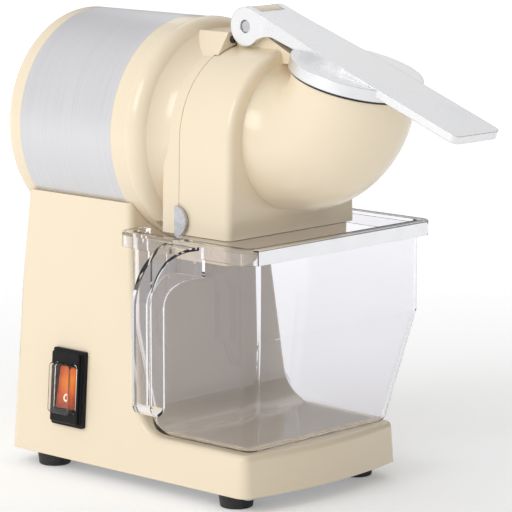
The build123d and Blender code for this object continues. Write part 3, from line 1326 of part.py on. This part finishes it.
with BuildPart() as container:
    rim_middle = (RIM_FRONT + RIM_REAR) / 2
    rim_length = RIM_REAR - RIM_FRONT
    add(tub_outside)
    # Turned-down rim, hollow underneath
    with BuildSketch(level(RIM_TOP - RIM_DROP)):
        with Locations((0, rim_middle)):
            RectangleRounded(2 * RIM_HALF_WIDTH, rim_length, BOX_CORNER)
    extrude(amount=RIM_DROP)
    with BuildSketch(level(RIM_TOP - RIM_DROP)):
        with Locations((0, rim_middle)):
            RectangleRounded(2 * (RIM_HALF_WIDTH - BOX_WALL), rim_length - 2 * BOX_WALL, BOX_CORNER - BOX_WALL)
            RectangleRounded(
                2 * (RIM_HALF_WIDTH - RIM_STEP),
                rim_length - 2 * RIM_STEP,
                BOX_CORNER,
                mode=Mode.SUBTRACT,
            )
    extrude(amount=RIM_DROP - BOX_WALL, mode=Mode.SUBTRACT)
    add(handle_outside)
    add(handle_inside, mode=Mode.SUBTRACT)
    add(tub_inside, mode=Mode.SUBTRACT)
    # The rear wall is cut down so that the container slides out past the chute
    with Locations(at(0, RIM_REAR - 4 * BOX_WALL, NOTCH_BOTTOM)):
        Box(
            2 * NOTCH_HALF_WIDTH,
            8 * BOX_WALL,
            RIM_TOP,
            align=(Align.CENTER, Align.MIN, Align.MIN),
            mode=Mode.SUBTRACT,
        )
    # Seat for the trim on the front of the rim
    with Locations(at(0, RIM_FRONT, RIM_TOP)):
        Box(
            2 * TRIM_HALF_WIDTH + 0.2,
            2 * TRIM_THICKNESS,
            4 * RIM_DROP,
            mode=Mode.SUBTRACT,
        )
        Box(
            2 * TRIM_HALF_WIDTH + 0.2,
            2 * TRIM_LIP,
            2 * TRIM_THICKNESS,
            mode=Mode.SUBTRACT,
        )
save(container.part, "container")

with BuildPart() as container_trim:
    with Locations(at(0, RIM_FRONT, RIM_TOP)):
        Box(2 * TRIM_HALF_WIDTH, TRIM_THICKNESS, RIM_DROP, align=(Align.CENTER, Align.MIN, Align.MAX))
        Box(2 * TRIM_HALF_WIDTH, TRIM_LIP, TRIM_THICKNESS, align=(Align.CENTER, Align.MIN, Align.MAX))
    fillet(container_trim.edges().filter_by(Axis.X).sort_by_distance(at(0, RIM_FRONT, RIM_TOP))[0], 1.0)
save(container_trim.part, "container_trim")
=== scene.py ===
import json
import math

import bmesh
import bpy
from mathutils import Matrix, Vector


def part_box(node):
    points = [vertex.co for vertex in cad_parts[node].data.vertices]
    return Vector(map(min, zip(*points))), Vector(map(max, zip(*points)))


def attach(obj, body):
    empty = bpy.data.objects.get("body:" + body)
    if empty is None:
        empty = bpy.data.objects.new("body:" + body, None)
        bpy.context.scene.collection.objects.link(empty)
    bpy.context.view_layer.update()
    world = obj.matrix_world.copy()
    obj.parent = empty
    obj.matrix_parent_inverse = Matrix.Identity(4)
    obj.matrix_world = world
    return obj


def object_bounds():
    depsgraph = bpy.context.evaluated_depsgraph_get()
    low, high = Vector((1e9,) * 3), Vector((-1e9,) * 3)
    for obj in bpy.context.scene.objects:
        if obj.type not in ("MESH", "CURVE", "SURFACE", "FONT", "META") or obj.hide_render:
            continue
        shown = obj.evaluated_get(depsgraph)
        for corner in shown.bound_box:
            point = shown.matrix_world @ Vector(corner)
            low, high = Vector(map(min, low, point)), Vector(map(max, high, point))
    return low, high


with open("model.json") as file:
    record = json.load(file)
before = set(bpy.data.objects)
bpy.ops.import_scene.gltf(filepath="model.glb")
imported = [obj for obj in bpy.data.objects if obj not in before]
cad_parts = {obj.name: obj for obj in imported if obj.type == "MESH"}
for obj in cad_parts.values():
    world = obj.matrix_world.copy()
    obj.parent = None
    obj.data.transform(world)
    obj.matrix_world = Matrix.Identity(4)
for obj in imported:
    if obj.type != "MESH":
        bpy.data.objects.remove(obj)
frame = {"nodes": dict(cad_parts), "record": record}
cad_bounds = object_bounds()

# ---------------------------------------------------------------- sizes, in metres
EDGE_RADIUS = 0.0006         # softening of sharp edges by the shader

# The camera: its direction from the machine, its distance, its aim from the box's centre, and its lens
VIEW_AZIMUTH = math.radians(-46.76)
VIEW_PITCH = math.radians(9.75)
VIEW_DISTANCE = 1.87
VIEW_OFFSET = Vector((-0.0056, -0.0148, -0.0010))
LENS_MM = 210.9
SENSOR_MM = 36.0

# The marks on the rocker, and how high each stands as a share of the rocker's height
MARK_WIDTH = 0.0011
MARK_RADIUS = 0.0027
MARK_BAR = 0.0052
MARK_PROUD = 0.00012
MARK_STEPS = 36
BAR_END_STEPS = 8
OFF_MARK_HEIGHT = 0.27
ON_MARK_HEIGHT = 0.76
IN_FRONT = 0.01              # where the search for the rocker's face starts

# The lamp behind the rocker
LAMP_HEIGHT = 0.68           # as a share of the rocker's height
LAMP_NEAR = 0.002
LAMP_FAR = 0.018
LAMP_MOTTLE = 0.35
LAMP_MOTTLE_MEAN = 0.17

# The studio
FLOOR_REACH = 14.0
FLOOR_GLOW = (0.22, 0.62)    # light given off near the machine and far from it
FLOOR_GLOW_SPAN = (0.25, 2.2)
SKY_TOWARD = Vector((-0.82, 0.45, 0.36)).normalized()
SKY_SPAN = (-0.7, 0.8)       # how far a direction faces the bright side, from dim to bright
SKY_STRENGTH = (0.1, 0.86)
KEY_PLACE = Vector((-1.6, 0.25, 1.2))
KEY_SIZE = (0.9, 0.9)
KEY_WATTS = 8.4
BACK_PLACE = Vector((1.15, 0.6, 1.15))
BACK_SIZE = (1.4, 1.1)
BACK_WATTS = 3

# Shares of a noise texture's range over which a colour or a roughness changes
COLOUR_SPAN = (0.3, 0.7)
ROUGH_SPAN = (0.35, 0.65)
RANGE_INPUTS = ("From Min", "From Max", "To Min", "To Max")


# ---------------------------------------------------------------- material helpers
class Look:
    """A procedural material: one Principled shader, and the nodes that vary it over the surface."""

    def __init__(self, name, **constants):
        self.material = bpy.data.materials.new(name)
        self.material.use_nodes = True
        self.tree = self.material.node_tree
        self.tree.nodes.clear()
        self.output = self.add("ShaderNodeOutputMaterial")
        self.shader = self.add("ShaderNodeBsdfPrincipled")
        self.link(self.shader.outputs["BSDF"], self.output.inputs["Surface"])
        for key, value in constants.items():
            self.shader.inputs[key.replace("_", " ")].default_value = value
        self.place = self.add("ShaderNodeTexCoord").outputs["Object"]
        self.normal = None

    def add(self, kind):
        return self.tree.nodes.new(kind)

    def link(self, source, target):
        self.tree.links.new(source, target)

    def stretched(self, scale):
        """The object's coordinates, scaled by a different amount along each axis."""
        mapping = self.add("ShaderNodeMapping")
        mapping.inputs["Scale"].default_value = scale
        self.link(self.place, mapping.inputs["Vector"])
        return mapping.outputs["Vector"]

    def noise(self, scale, detail, roughness=0.5, where=None):
        node = self.add("ShaderNodeTexNoise")
        node.inputs["Scale"].default_value = scale
        node.inputs["Detail"].default_value = detail
        node.inputs["Roughness"].default_value = roughness
        self.link(where or self.place, node.inputs["Vector"])
        return node.outputs["Fac"]

    def remap(self, value, span, results):
        """The value moved from one range to another."""
        node = self.add("ShaderNodeMapRange")
        for key, number in zip(RANGE_INPUTS, (*span, *results)):
            node.inputs[key].default_value = number
        self.link(value, node.inputs["Value"])
        return node.outputs["Result"]

    def colour(self, value, dark, light, span=COLOUR_SPAN):
        """Sets the base colour, from dark to light over a span of the value."""
        node = self.add("ShaderNodeValToRGB")
        for end, position, shade in zip(node.color_ramp.elements, span, (dark, light)):
            end.position = position
            end.color = (*shade, 1)
        self.link(value, node.inputs["Fac"])
        self.link(node.outputs["Color"], self.shader.inputs["Base Color"])

    def rough(self, value, low, high, span=ROUGH_SPAN):
        """Sets the roughness, from low to high over a span of the value."""
        self.link(self.remap(value, span, (low, high)), self.shader.inputs["Roughness"])

    def soften_edges(self, radius=EDGE_RADIUS):
        """Rounds the shading, not the shape, of sharp edges."""
        node = self.add("ShaderNodeBevel")
        node.samples = 4
        node.inputs["Radius"].default_value = radius
        self.normal = node.outputs["Normal"]
        self.link(self.normal, self.shader.inputs["Normal"])

    def bump(self, value, distance, strength):
        """Adds relief on top of the relief and the soft edges set so far."""
        node = self.add("ShaderNodeBump")
        node.inputs["Distance"].default_value = distance
        node.inputs["Strength"].default_value = strength
        self.link(value, node.inputs["Height"])
        if self.normal:
            self.link(self.normal, node.inputs["Normal"])
        self.normal = node.outputs["Normal"]
        self.link(self.normal, self.shader.inputs["Normal"])


def gloss_enamel(name, lit, shade):
    """Sprayed enamel: faint orange peel, slow waviness of the casting, and a little handling haze."""
    look = Look(name, Specular_IOR_Level=0.5, Coat_Weight=0.35, Coat_Roughness=0.08)
    look.colour(look.noise(9, 4, 0.55), shade, lit)
    look.rough(look.noise(140, 3, 0.5), 0.23, 0.27, (0.2, 0.8))
    look.soften_edges()
    look.bump(look.noise(520, 1), 0.00002, 0.3)
    look.bump(look.noise(22, 1), 0.00025, 0.25)
    return look.material


def band_steel():
    """Stainless sheet brushed round the barrel: fine lines that run round, close together along the axis."""
    look = Look("stainless_band", Metallic=0.9, Anisotropic=0.4)
    lines = look.noise(1, 4, 0.7, look.stretched((14, 2600, 14)))
    look.colour(lines, (0.66, 0.66, 0.68), (0.80, 0.80, 0.82), (0.25, 0.75))
    look.rough(lines, 0.34, 0.46)
    tangent = look.add("ShaderNodeTangent")
    tangent.direction_type = "RADIAL"
    tangent.axis = "Y"
    look.link(tangent.outputs["Tangent"], look.shader.inputs["Tangent"])
    look.bump(lines, 0.00001, 0.35)
    return look.material


def polished_casting(name, light, dark, smooth, dull, pits):
    """Bright metal with small scratches, dull patches and shallow pits left by the casting."""
    look = Look(name, Metallic=1.0)
    grain = look.noise(520, 6, 0.7)
    patches = look.noise(24, 5, 0.6)
    look.colour(patches, dark, light, (0.3, 0.66))
    look.rough(patches, smooth, dull)
    look.soften_edges(EDGE_RADIUS * 1.5)
    look.bump(grain, pits, 0.45)
    look.bump(look.noise(1, 3, 0.6, look.stretched((60, 900, 60))), 0.00003, 0.35)
    return look.material


def zinc_steel(name, light, dark, low=0.22, high=0.4):
    """Plated or ground steel: mottled plating, mottled roughness and a fine mottled bump."""
    look = Look(name, Metallic=1.0)
    mottle = look.noise(260, 4, 0.6)
    look.colour(mottle, dark, light, (0.35, 0.65))
    look.rough(look.noise(90, 5, 0.7), low, high)
    look.soften_edges(EDGE_RADIUS / 3)
    look.bump(mottle, 0.00001, 0.35)
    return look.material


def laminated(name, light, dark):
    """A stack of thin sheets across the barrel's axis."""
    look = Look(name, Metallic=0.8)
    sheets = look.noise(1, 2, 0.6, look.stretched((20, 1900, 20)))
    look.colour(sheets, dark, light)
    look.rough(sheets, 0.35, 0.6)
    look.bump(sheets, 0.0001, 0.7)
    return look.material


def moulded(name, light, dark, low, high, grain, depth, **constants):
    """Opaque plastic or rubber with a fine moulded grain."""
    look = Look(name, **constants)
    look.colour(look.noise(55, 5, 0.6), dark, light)
    look.rough(look.noise(70, 5, 0.65), low, high)
    look.soften_edges(EDGE_RADIUS / 2)
    look.bump(look.noise(grain, 3), depth, 0.6)
    return look.material


def let_light_through(look, tint):
    """Lamps reach what is behind the clear piece, instead of casting a full shadow."""
    path = look.add("ShaderNodeLightPath")
    clear = look.add("ShaderNodeBsdfTransparent")
    clear.inputs["Color"].default_value = (*tint, 1)
    mix = look.add("ShaderNodeMixShader")
    look.link(path.outputs["Is Shadow Ray"], mix.inputs["Fac"])
    look.link(look.shader.outputs["BSDF"], mix.inputs[1])
    look.link(clear.outputs["BSDF"], mix.inputs[2])
    look.link(mix.outputs["Shader"], look.output.inputs["Surface"])


def clear_plastic():
    """Injection-moulded clear plastic: slow flow waviness and a little surface haze from washing."""
    look = Look("clear_plastic", Transmission_Weight=1.0, IOR=1.46, Specular_IOR_Level=0.5)
    look.colour(look.noise(12, 3), (0.945, 0.94, 0.965), (0.965, 0.96, 0.98))
    look.rough(look.noise(45, 6, 0.7), 0.0, 0.035)
    look.bump(look.noise(26, 1), 0.0002, 0.3)
    let_light_through(look, (0.97, 0.97, 0.98))
    return look.material


def hood_plastic():
    """The soft clear splash cover over the rocker, cloudier than the container."""
    look = Look("hood_plastic", Transmission_Weight=1.0, IOR=1.33, Specular_IOR_Level=0.3)
    look.colour(look.noise(160, 3), (0.93, 0.92, 0.9), (0.98, 0.97, 0.96))
    look.rough(look.noise(240, 4), 0.01, 0.07)
    look.bump(look.noise(130, 2), 0.0003, 0.5)
    let_light_through(look, (0.9, 0.9, 0.9))
    return look.material


def lit_rocker():
    """Translucent orange plastic with a lamp behind it, brighter near the lamp."""
    look = Look("lit_rocker", Emission_Strength=0.75, Coat_Weight=0.15, Specular_IOR_Level=0.3)
    low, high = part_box("switch_rocker")
    spread = look.add("ShaderNodeVectorMath")
    spread.operation = "DISTANCE"
    spread.inputs[1].default_value = (low.x, (low.y + high.y) / 2, low.z + (high.z - low.z) * LAMP_HEIGHT)
    look.link(look.place, spread.inputs[0])
    glow = look.remap(spread.outputs["Value"], (LAMP_NEAR, LAMP_FAR), (1.0, 0.0))
    cloudy = look.add("ShaderNodeMath")
    cloudy.operation = "MULTIPLY_ADD"
    look.link(look.noise(300, 3), cloudy.inputs[0])
    cloudy.inputs[1].default_value = LAMP_MOTTLE
    cloudy.inputs[2].default_value = -LAMP_MOTTLE_MEAN
    both = look.add("ShaderNodeMath")
    both.operation = "ADD"
    look.link(glow, both.inputs[0])
    look.link(cloudy.outputs["Value"], both.inputs[1])
    ramp = look.add("ShaderNodeValToRGB")
    ramp.color_ramp.elements[0].color = (0.12, 0.010, 0.001, 1)
    ramp.color_ramp.elements[1].color = (1.0, 0.34, 0.015, 1)
    ramp.color_ramp.elements.new(0.5).color = (0.62, 0.085, 0.002, 1)
    look.link(both.outputs["Value"], ramp.inputs["Fac"])
    look.link(ramp.outputs["Color"], look.shader.inputs["Emission Color"])
    look.colour(look.noise(120, 3), (0.16, 0.02, 0.001), (0.26, 0.04, 0.002))
    look.rough(look.noise(200, 3), 0.12, 0.25)
    look.bump(look.noise(500, 2), 0.00004, 0.4)
    return look.material


looks = {
    "cream_paint": gloss_enamel("cream_paint", (0.89, 0.765, 0.57), (0.88, 0.755, 0.56)),
    # Painted shade: the outlet chute under the chamber has the same cream paint as the castings, and this
    # darker copy of that paint paints in the shade that falls on it
    "outlet_cream": gloss_enamel("outlet_cream", (0.78, 0.65, 0.48), (0.74, 0.61, 0.44)),
    "stainless_band": band_steel(),
    "lever_aluminium": polished_casting(
        "lever_aluminium", (0.90, 0.90, 0.91), (0.78, 0.785, 0.80), 0.2, 0.36, pits=0.00012
    ),
    "cast_aluminium": polished_casting(
        "cast_aluminium", (0.76, 0.77, 0.78), (0.6, 0.61, 0.63), 0.32, 0.55, pits=0.0002
    ),
    "bright_steel": zinc_steel("bright_steel", (0.60, 0.61, 0.63), (0.53, 0.54, 0.56)),
    "bearing_steel": zinc_steel("bearing_steel", (0.62, 0.63, 0.65), (0.5, 0.51, 0.53), 0.15, 0.3),
    "pusher_steel": zinc_steel("pusher_steel", (0.74, 0.74, 0.75), (0.6, 0.6, 0.62), 0.18, 0.3),
    "capacitor_can": zinc_steel("capacitor_can", (0.66, 0.67, 0.69), (0.54, 0.55, 0.57), 0.25, 0.45),
    "galvanised_sheet": zinc_steel("galvanised_sheet", (0.58, 0.59, 0.6), (0.4, 0.41, 0.43), 0.35, 0.6),
    "core_steel": laminated("core_steel", (0.34, 0.35, 0.37), (0.17, 0.175, 0.19)),
    "copper_windings": laminated("copper_windings", (0.6, 0.24, 0.1), (0.3, 0.09, 0.035)),
    "black_rubber": moulded(
        "black_rubber", (0.022, 0.022, 0.023), (0.010, 0.010, 0.011), 0.45, 0.7, 900, 0.00008
    ),
    "black_plastic": moulded(
        "black_plastic", (0.009, 0.009, 0.010), (0.005, 0.005, 0.006), 0.3, 0.45, 1300, 0.00004,
        Specular_IOR_Level=0.2,
    ),
    "white_trim": moulded(
        "white_trim", (0.93, 0.935, 0.95), (0.88, 0.885, 0.9), 0.12, 0.2, 500, 0.00001,
        Metallic=0.75, Coat_Weight=0.3,
    ),
    "white_plastic": moulded(
        "white_plastic", (0.87, 0.87, 0.85), (0.79, 0.79, 0.77), 0.3, 0.5, 700, 0.00005,
        Subsurface_Weight=0.05,
    ),
    "clear_plastic": clear_plastic(),
    "lit_rocker": lit_rocker(),
}
node_looks = {"switch_hood": hood_plastic()}


# ---------------------------------------------------------------- CAD nodes
for subpart in frame["record"]["subparts"]:
    node = subpart["node"]
    piece = frame["nodes"][node]
    piece.data.materials.clear()
    piece.data.materials.append(node_looks.get(node, looks[subpart["material_slot"]]))


# ---------------------------------------------------------------- marks on the rocker
def flat_mesh(name, outline, hole, thickness):
    """A thin raised shape in its own XY plane, from an outline and a hole with as many points, or no hole."""
    shape = bmesh.new()
    outside = [shape.verts.new((x, y, 0)) for x, y in outline]
    inside = [shape.verts.new((x, y, 0)) for x, y in hole]
    if hole:
        for i in range(len(outside)):
            shape.faces.new((outside[i - 1], outside[i], inside[i], inside[i - 1]))
    else:
        shape.faces.new(outside)
    raised = bmesh.ops.extrude_face_region(shape, geom=shape.faces[:])
    moved = [v for v in raised["geom"] if isinstance(v, bmesh.types.BMVert)]
    bmesh.ops.translate(shape, verts=moved, vec=(0, 0, thickness))
    bmesh.ops.recalc_face_normals(shape, faces=shape.faces[:])
    mesh = bpy.data.meshes.new(name)
    shape.to_mesh(mesh)
    shape.free()
    piece = bpy.data.objects.new(name, mesh)
    bpy.context.scene.collection.objects.link(piece)
    return piece


def ring(radius):
    """Points round a circle."""
    turns = [math.tau * i / MARK_STEPS for i in range(MARK_STEPS)]
    return [(radius * math.cos(a), radius * math.sin(a)) for a in turns]


def rounded_bar(width, length):
    """Points round a bar along Y with round ends."""
    half = length / 2 - width / 2
    top = [math.pi * i / BAR_END_STEPS for i in range(BAR_END_STEPS + 1)]
    points = [(width / 2 * math.cos(a), half + width / 2 * math.sin(a)) for a in top]
    return points + [(-x, -y) for x, y in points]


def on_rocker(piece, height):
    """Lays a mark on the rocker's outer face, at a share of the rocker's height."""
    low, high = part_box("switch_rocker")
    rocker = frame["nodes"]["switch_rocker"]
    start = Vector((low.x - IN_FRONT, (low.y + high.y) / 2, low.z + (high.z - low.z) * height))
    hit, place, normal, _ = rocker.ray_cast(start, Vector((1, 0, 0)))
    if not hit:
        raise RuntimeError("the mark is beside the rocker")
    side = Vector((0, -1, 0))
    up = normal.cross(side).normalized()
    turn = Matrix((side, up, normal)).transposed().to_4x4()
    piece.matrix_world = Matrix.Translation(place - normal * MARK_PROUD) @ turn
    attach(piece, "rocker")


def mark_paint():
    """Pale printed paint, lit from behind through the rocker."""
    look = Look("mark_paint", Emission_Color=(1.0, 0.8, 0.6, 1), Emission_Strength=0.35)
    look.colour(look.noise(900, 3), (0.75, 0.62, 0.5), (0.95, 0.85, 0.72))
    look.rough(look.noise(700, 3), 0.3, 0.5)
    look.bump(look.noise(1500, 2), 0.00003, 0.5)
    return look.material


off_mark = flat_mesh("mark_off", ring(MARK_RADIUS), ring(MARK_RADIUS - MARK_WIDTH), 2 * MARK_PROUD)
on_mark = flat_mesh("mark_on", rounded_bar(MARK_WIDTH, MARK_BAR), [], 2 * MARK_PROUD)
paint = mark_paint()
for mark, height in ((off_mark, OFF_MARK_HEIGHT), (on_mark, ON_MARK_HEIGHT)):
    mark.data.materials.append(paint)
    on_rocker(mark, height)


# ---------------------------------------------------------------- floor, light and camera
def floor():
    """A pale floor that gives off a little light, more away from the machine."""
    look = Look("floor", Specular_IOR_Level=0.0, Emission_Color=(1, 1, 1, 1))
    away = look.add("ShaderNodeVectorMath")
    away.operation = "LENGTH"
    look.link(look.place, away.inputs[0])
    glow = look.remap(away.outputs["Value"], FLOOR_GLOW_SPAN, FLOOR_GLOW)
    look.link(glow, look.shader.inputs["Emission Strength"])
    look.colour(look.noise(3, 3), (0.9, 0.9, 0.9), (0.92, 0.92, 0.92))
    look.rough(look.noise(20, 4), 0.6, 0.8)
    mesh = bpy.data.meshes.new("floor")
    corners = [(x * FLOOR_REACH, y * FLOOR_REACH, 0) for x, y in ((-1, -1), (1, -1), (1, 1), (-1, 1))]
    mesh.from_pydata(corners, [], [(0, 1, 2, 3)])
    mesh.materials.append(look.material)
    piece = bpy.data.objects.new("floor", mesh)
    bpy.context.scene.collection.objects.link(piece)


def area_light(name, place, size, watts, target):
    """A soft rectangular light that faces the target."""
    lamp = bpy.data.lights.new(name, "AREA")
    lamp.shape = "RECTANGLE"
    lamp.size, lamp.size_y = size
    lamp.energy = watts
    light = bpy.data.objects.new(name, lamp)
    light.location = place
    light.rotation_euler = (target - place).to_track_quat("-Z", "Y").to_euler()
    bpy.context.scene.collection.objects.link(light)


def soft_sky():
    """A pale studio all round, brighter on the side of the main light."""
    world = bpy.data.worlds.new("studio")
    world.use_nodes = True
    tree = world.node_tree
    background = tree.nodes["Background"]
    background.inputs["Color"].default_value = (1, 1, 1, 1)
    place = tree.nodes.new("ShaderNodeTexCoord")
    facing = tree.nodes.new("ShaderNodeVectorMath")
    facing.operation = "DOT_PRODUCT"
    facing.inputs[1].default_value = SKY_TOWARD
    spread = tree.nodes.new("ShaderNodeMapRange")
    spread.interpolation_type = "SMOOTHSTEP"
    for key, number in zip(RANGE_INPUTS, (*SKY_SPAN, *SKY_STRENGTH)):
        spread.inputs[key].default_value = number
    tree.links.new(place.outputs["Generated"], facing.inputs[0])
    tree.links.new(facing.outputs["Value"], spread.inputs["Value"])
    tree.links.new(spread.outputs["Result"], background.inputs["Strength"])
    bpy.context.scene.world = world


centre = (Vector(cad_bounds[0]) + Vector(cad_bounds[1])) / 2
floor()
soft_sky()
area_light("key", KEY_PLACE, KEY_SIZE, KEY_WATTS, centre)
area_light("back", BACK_PLACE, BACK_SIZE, BACK_WATTS, centre)

camera_data = bpy.data.cameras.new("camera")
camera_data.lens = LENS_MM
camera_data.sensor_width = SENSOR_MM
camera = bpy.data.objects.new("camera", camera_data)
aim = centre + VIEW_OFFSET
away = Vector((
    math.sin(VIEW_AZIMUTH) * math.cos(VIEW_PITCH),
    -math.cos(VIEW_AZIMUTH) * math.cos(VIEW_PITCH),
    math.sin(VIEW_PITCH),
))
camera.location = aim + away * VIEW_DISTANCE
camera.rotation_euler = (-away).to_track_quat("-Z", "Y").to_euler()
bpy.context.scene.collection.objects.link(camera)
bpy.context.scene.camera = camera
bpy.context.scene.view_settings.view_transform = "Standard"

# ---------------------------------------------------------------- the view layer brought up to date
bpy.context.view_layer.update()
